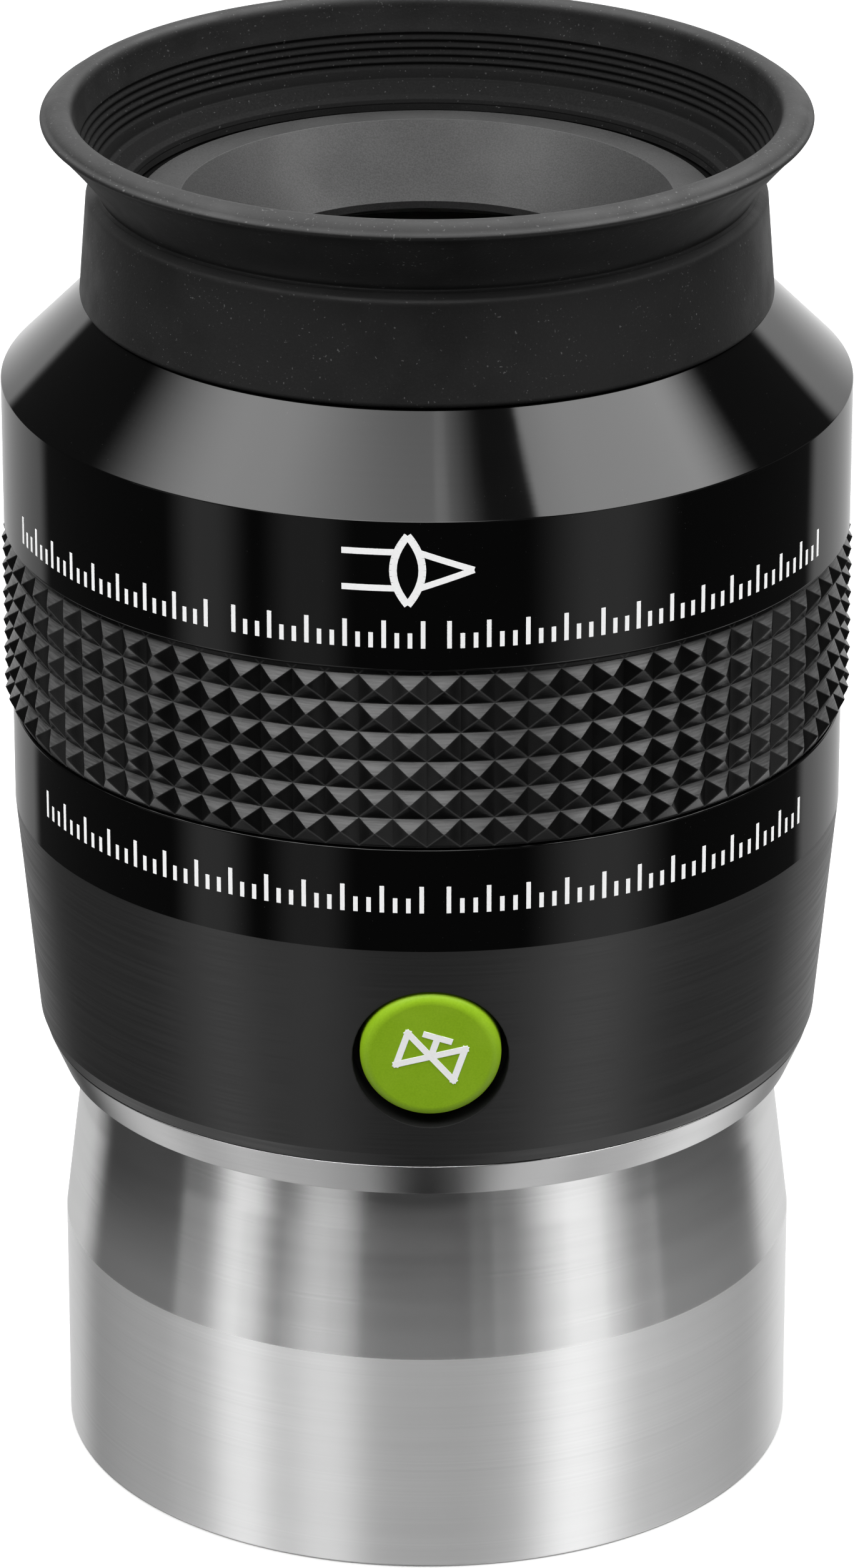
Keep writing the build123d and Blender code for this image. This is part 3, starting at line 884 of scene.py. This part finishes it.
def make_eyecup():
    """One rubber moulding, folding down over its cuff: cuff, shoulder, flared wall, rolled lip."""
    foot = CONE_TOP + 0.05
    wall_bottom, wall_top = (22.2, 91.6), (25.5, 95.75)
    lip_outside, lip_top, lip_inside = (25.5, 96.38), (24.35, 96.9), (23.58, 96.1)
    ribs_bottom, ribs_top = (22.05, 92.05), (23.2, LIP_BOTTOM)
    ribs, rib_depth = 5, 0.15
    cuff = softened([
        (21.45, foot),
        (23.4, foot, 0.35),
        (22.85, 90.75, 0.55),
        (22.25, 91.2, 0.12),
        (22.05, 91.35, 0.1),
        wall_bottom,
    ], closed=False)
    flare = arc_points(wall_bottom, (23.35, 93.3), wall_top, 18)
    edge = arc_points(wall_top, (25.82, 96.12), lip_outside, 8)
    crown = arc_points(lip_outside, (24.98, 96.77), lip_top, 10)
    inner_edge = arc_points(lip_top, (23.82, 96.68), lip_inside, 10)
    hollow = arc_points(lip_inside, (23.4, 95.3), ribs_top, 8)
    ribbed = rib_points(ribs_bottom, ribs_top, ribs, rib_depth)[1:]
    inside = softened([
        ribs_bottom,
        (21.75, 91.45, 0.2),
        (21.45, 91.35, 0.1),
        (20.75, 90.65, 0.3),
        (20.35, 90.45, 0.15),
        (20.2, 90.2, 0.12),
        (20.2, NECK_TOP + 0.05, 0.05),
        (21.45, NECK_TOP + 0.05),
    ], closed=False)[1:]
    outline = cuff + flare + edge + crown + inner_edge + hollow + ribbed + inside
    piece = lathe("eyecup", outline, segments=320, sharp=50.0)
    paint(piece, MATERIALS["eyecup_rubber"], SHADED_INNER_RUBBER)
    # The wall's inside and the ledge below it get the darker rubber, painted shade in the cup's
    # hollow.
    ledge_from, wall_from, ledge_radius = 90.0, 91.5, 22.0
    for face in piece.data.polygons:
        inward = face.normal.xy.dot(face.center.xy) < 0 and face.center.z > wall_from * MM
        ledge = face.center.xy.length < ledge_radius * MM
        if (inward or ledge) and ledge_from * MM < face.center.z < (LIP_BOTTOM + 0.1) * MM:
            face.material_index = 1
    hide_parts("eyecup_cuff", "eyecup_fold", "eyecup_lip")
    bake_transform(piece)
    return piece


# ---- eye lens and bezel -------------------------------------------------------------


def make_bezel():
    """Dark grey ring with a wide conical mouth, screwed down on to the eye lens."""
    lens_face, lens_edge = 84.6, 16.4
    outline = softened([
        (EYE_APERTURE, APERTURE_Z, 0.04),
        (EYE_APERTURE, APERTURE_Z - 0.5),
        (14.6, APERTURE_Z - 0.5),
        (15.2, lens_face),
        (lens_edge, lens_face),
        (lens_edge, BEZEL_BOTTOM),
        (BEZEL_RADIUS, BEZEL_BOTTOM),
        (BEZEL_RADIUS, 89.9, 0.12),
        (BEZEL_RING, 90.2, 0.06),
    ])
    piece = paint(lathe("bezel", outline), MATERIALS["bezel_black"])
    return put(piece, "root", "bezel_black", "eye_bezel")


def make_eye_lens():
    """The eye lens, convex on both faces."""
    low_face, low_bulge = 80.85, -1.0
    high_face, high_bulge = 83.6, 1.6
    steps = 24
    outline = []
    for i in range(steps + 1):
        share = i / steps
        outline.append((EYE_LENS_RADIUS * share, low_face + low_bulge * (1 - share ** 2)))
    for i in range(steps, -1, -1):
        share = i / steps
        outline.append((EYE_LENS_RADIUS * share, high_face + high_bulge * (1 - share ** 2)))
    piece = paint(lathe("eye_glass", outline), MATERIALS["coated_glass"])
    return put(piece, "root", "coated_glass", "eye_lens")


# ---- purge cap -------------------------------------------------------------------------


def make_purge_cap():
    """Green cover with a rounded edge, hollow behind to clear the purge screw."""
    rounding, floor_gap = 0.75, 0.05
    hollow_radius, hollow_depth = 3.2, 1.2
    back = floor_gap - POCKET_DEPTH - CAP_STANDS
    outline = softened([
        (0, 0),
        (CAP_RADIUS, 0, rounding),
        (CAP_RADIUS, back, 0.1),
        (hollow_radius, back),
        (hollow_radius, back + hollow_depth),
        (0, back + hollow_depth),
    ], steps=8)
    millimetres = pocket_matrix() @ Matrix.Translation((0, CAP_LIFT, CAP_STANDS))
    matrix = Matrix.Translation(millimetres.translation * MM) @ millimetres.to_3x3().to_4x4()
    piece = lathe("purge_cover", outline, segments=96, matrix=matrix)
    paint(piece, MATERIALS["green_cap"])
    put(piece, "root", "green_cap", "purge_cap")
    make_cap_mark(matrix)


def make_cap_mark(matrix):
    """White mark on the cap: the usual sign for a valve, two triangles under a short handle."""
    half, tall, wide, thick = 2.0, 1.25, 0.44, 0.03
    stem, handle = 1.5, 0.8
    lean = -18
    strokes = [
        ((-half, -tall), (-half, tall)),
        ((half, -tall), (half, tall)),
        ((-half, -tall), (half, tall)),
        ((-half, tall), (half, -tall)),
        ((0, 0), (0, stem)),
        ((-handle, stem), (handle, stem)),
    ]
    verts, faces = [], []
    for level, (start, end) in enumerate(strokes):
        a, b = Vector(start), Vector(end)
        side = (b - a).orthogonal().normalized() * wide / 2
        reach = (b - a).normalized() * wide / 2
        shape = [a - side - reach, b - side + reach, b + side + reach, a + side - reach]
        top = thick + 0.002 * level
        above = [(x, y, top) for x, y in shape]
        below = [(x, y, -thick) for x, y in shape]
        add_plate(verts, faces, above, below)
    tilt = Matrix.Rotation(math.radians(lean), 4, "Z")
    piece = new_object("cap_mark", verts, faces, sharp=20.0, matrix=matrix @ tilt)
    paint(piece, WHITE_INK)
    put(piece, "root", "green_cap")


def add_plate(verts, faces, top, bottom):
    """A closed thin plate between two matching outlines."""
    start = len(verts)
    count = len(top)
    verts.extend(top)
    verts.extend(bottom)
    faces.append(list(range(start, start + count)))
    faces.append(list(range(start + 2 * count - 1, start + count - 1, -1)))
    for k in range(count):
        m = (k + 1) % count
        faces.append([start + k, start + count + k, start + count + m, start + m])


# ---- printed marks -----------------------------------------------------------------------


INK = 0.015                 # how far the ink stands proud


def bent(radius, along, z, lift):
    """A point printed on a cylinder: along is the distance round it from the front, in mm."""
    angle = along / radius
    r = radius + lift
    return (r * math.sin(angle), -r * math.cos(angle), z)


def add_stroke(verts, faces, radius, start, end, width, lift=INK):
    """A straight ink stroke laid on a cylinder, from start to end as (along, z)."""
    longest = 0.5
    a, b = Vector(start), Vector(end)
    side = (b - a).orthogonal().normalized() * width / 2
    parts = max(1, int(abs(b.x - a.x) / longest))
    for i in range(parts):
        p = a.lerp(b, i / parts)
        q = a.lerp(b, (i + 1) / parts)
        shape = [p - side, q - side, q + side, p + side]
        top = [bent(radius, s.x, s.y, lift) for s in shape]
        bottom = [bent(radius, s.x, s.y, -INK) for s in shape]
        add_plate(verts, faces, top, bottom)


def make_scale(name, radius, low, high, groups):
    """A row of graduation marks: every third one is long. Groups are (from, to) in degrees."""
    verts, faces = [], []
    pitch, width = 0.86, 0.3
    short = low + 0.55 * (high - low)
    for group_start, group_end in groups:
        begin = math.radians(group_start) * radius
        finish = math.radians(group_end) * radius
        count = round((finish - begin) / pitch / 3) * 3
        for i in range(count + 1):
            along = begin + (finish - begin) * i / count
            top = short if i % 3 else high
            add_stroke(verts, faces, radius, (along, low), (along, top), width)
    piece = new_object(name, verts, faces, sharp=20.0)
    paint(piece, WHITE_INK)
    return put(piece, "root", "gloss_black")


def make_lens_mark():
    """The large mark: a lens in section with two rays brought to its focus."""
    radius = HEAD_RADIUS
    centre, middle = -1.5, 74.6
    half_height, bow = 2.4, 0.95
    lens_line, ray_line = 0.5, 0.42
    ray_height, ray_length = 1.25, 4.3
    steps = 12
    verts, faces = [], []
    for side in (-1, 1):
        curve = []
        for i in range(steps + 1):
            t = 2 * i / steps - 1
            curve.append((centre + side * bow * (1 - t * t), middle + half_height * t))
        for p, q in zip(curve, curve[1:]):
            add_stroke(verts, faces, radius, p, q, lens_line, INK + 0.001 * side)
    focus = (centre + ray_length, middle)
    for rise in (-ray_height, ray_height):
        edge = bow * (1 - (rise / half_height) ** 2)
        level = middle + rise
        into = (centre - edge, level)
        out_of = (centre + edge, level)
        add_stroke(verts, faces, radius, (centre - ray_length, level), into, ray_line)
        add_stroke(verts, faces, radius, out_of, focus, ray_line)
    piece = new_object("lens_mark", verts, faces, sharp=20.0)
    paint(piece, WHITE_INK)
    return put(piece, "root", "gloss_black")


# ---- the object -----------------------------------------------------------------------------


make_barrel()
make_lower_housing()
make_head()
make_grip()
make_eyecup()
make_bezel()
make_eye_lens()
make_purge_cap()
make_scale(
    "upper_scale", HEAD_RADIUS, low=69.2, high=71.1, groups=[(-70, -30.5), (-26.4, -1.0), (2.4, 64)]
)
make_scale("lower_scale", BAND_RADIUS, low=50.3, high=52.2, groups=[(-64.7, -1.2), (2.4, 61.2)])
make_lens_mark()

slots = {part["node"]: part["material_slot"] for part in frame["record"]["subparts"]}
for node_name, cad_object in frame["nodes"].items():
    paint(cad_object, MATERIALS[slots[node_name]])


# ---- stage ------------------------------------------------------------------------------------


def make_floor():
    """A plain pale floor, just below the barrel's foot."""
    mesh = bpy.data.meshes.new("floor")
    half, drop = 4.0, 0.00002
    corners = [(-half, -half, 0), (half, -half, 0), (half, half, 0), (-half, half, 0)]
    mesh.from_pydata(corners, [], [(0, 1, 2, 3)])
    floor = bpy.data.objects.new("floor", mesh)
    bpy.context.scene.collection.objects.link(floor)
    made, graph, shader, place = new_material("floor_paper", Roughness=0.9)
    fibre = graph.noise(place, 3.0, 2.0)
    graph.plug(shader.inputs["Base Color"], graph.mix(fibre, grey(0.44), grey(0.45)))
    floor.data.materials.append(made)
    floor.visible_glossy = False
    floor.visible_diffuse = False
    floor.location.z = -drop


def make_world():
    """A light tent: bright overhead, a white backdrop behind, and soft strips between dark flags.

    Light depends on direction only, in degrees. around is the azimuth, 0 at the front and + towards
    +X, away is how far round from the front that is, and rise is the elevation.
    """
    world = bpy.data.worlds.new("studio")
    bpy.context.scene.world = world
    world.use_nodes = True
    tree = world.node_tree
    tree.nodes.clear()
    graph = Graph(tree)
    times, plus, less, ramp = graph.times, graph.plus, graph.less, graph.ramp
    way = graph.add("ShaderNodeTexCoord").outputs["Generated"]
    parts = graph.add("ShaderNodeSeparateXYZ", {0: way}).outputs
    degrees = 180 / math.pi
    around = times(graph.math("ARCTAN2", parts["X"], times(parts["Y"], -1.0)), degrees)
    rise = times(graph.math("ARCSINE", parts["Z"]), degrees)
    away = graph.math("ABSOLUTE", around)

    def strip(centre, half, soft, value):
        """A vertical strip of light, centred at an azimuth."""
        off = graph.math("ABSOLUTE", less(around, centre))
        return ramp(off, half, half + soft, value, 0.0)

    # Three soft strips to the camera's sides, brightest below the horizon.
    low = plus(strip(49, 3, 21, 1.05), strip(-62, 2, 12, 0.95), strip(-33, 3, 11, 0.5))
    low = times(low, ramp(rise, -19, -13, 1.0, 0.5), ramp(rise, 8, 25, 1.0, 0.0))

    # The backdrop. Its left edge is further back low down, and again above the horizon.
    behind = ramp(away, 146, 168)
    shift = plus(ramp(rise, -22.8, -21.7, 14.0, 0.0), ramp(rise, 0, 12, 0.0, 9.0))
    shift = times(shift, ramp(around, -20, 20, 1.0, 0.0))
    edge = plus(127.0, times(plus(rise, 23.0), 0.33), shift)
    back_low = ramp(around, -90, 90, 0.0, 0.3)
    back_high = ramp(behind, 0.0, 1.0, 2.2, 0.8)
    back = times(
        ramp(less(away, edge), -4, 3, 0.0, 1.0),
        ramp(rise, -37, -8, back_low, 1.05),
        ramp(rise, 5, 25, 1.0, back_high),
    )

    # The ground is dark at the front, and rows of dim panels stand between it and the horizon.
    ground = times(ramp(away, 5, 75, 0.1, 2.0), ramp(rise, -68, -48, 0.14, 0.8))
    deep = less(rise, ramp(away, 95, 130, 0.0, 10.0))
    rows = plus(
        strip(-52.5, 30.5, 1.5, 0.16),
        strip(-72, 11, 1.5, 0.26),
        strip(-38.5, 6.5, 1.5, 0.14),
        strip(17, 3.5, 1, 0.12),
        strip(48.5, 27.5, 1.5, 0.26),
        strip(50, 6, 1, 0.2),
        strip(98, 22, 10, 0.15),
    )
    under = times(
        ramp(rise, -61, -51, 0.0, 2.7),
        ramp(rise, -46, -40, 1.0, 0.35),
        ramp(rise, -34, -27, 1.0, 0.0),
    )
    over = times(ramp(rise, -19, -13, 0.0, 1.0), ramp(rise, 2, 14, 1.0, 0.0))
    base = plus(ramp(deep, -62, -42, ground, 0.06), times(rows, plus(under, over)))

    # The dome overhead, with a dark slit, a bright line beside it, a flag and a curtain behind.
    left = ramp(around, -60, 20, 1.0, 0.0)
    dome_low = ramp(left, 0.0, 1.0, 35.0, 34.0)
    dome_high = ramp(left, 0.0, 1.0, 46.0, 55.0)
    slit = times(ramp(around, 2, 30, 0.0, 0.985), ramp(around, 46, 50, 1.0, 0.0))
    flag = times(strip(-4, 10, 9, 0.85), ramp(rise, 46, 52, 1.0, 0.0))
    curtain = times(behind, ramp(rise, 58, 76, 0.65, 0.0))
    dome = times(
        ramp(rise, dome_low, dome_high, 0.0, 10.0),
        ramp(rise, 59, 78, 1.0, 0.1),
        less(1.0, slit),
        plus(1.0, strip(7, 2, 2.5, 0.3)),
        less(1.0, flag),
        less(1.0, curtain),
    )

    light = plus(low, back, base, dome)
    seen = graph.add("ShaderNodeLightPath").outputs["Is Camera Ray"]
    glow = graph.mix(seen, light, grey(0.95))
    background = graph.add("ShaderNodeBackground", {"Color": glow, "Strength": 1.0})
    output = graph.add("ShaderNodeOutputWorld")
    tree.links.new(background.outputs[0], output.inputs[0])


def make_camera():
    """Long lens, looking down at the front, a touch to the left of the cap."""
    distance, height = 0.5, 0.26
    look_down, focal_length = 23.03, 180.53
    swing = math.radians(-0.5)
    data = bpy.data.cameras.new("camera")
    data.lens = focal_length
    data.sensor_width = 36.0
    camera = bpy.data.objects.new("camera", data)
    bpy.context.scene.collection.objects.link(camera)
    camera.location = (distance * math.sin(swing), -distance * math.cos(swing), height)
    camera.rotation_euler = (math.radians(90 - look_down), 0, swing)
    bpy.context.scene.camera = camera


make_floor()
make_world()
make_camera()
bpy.context.scene.view_settings.view_transform = "Standard"
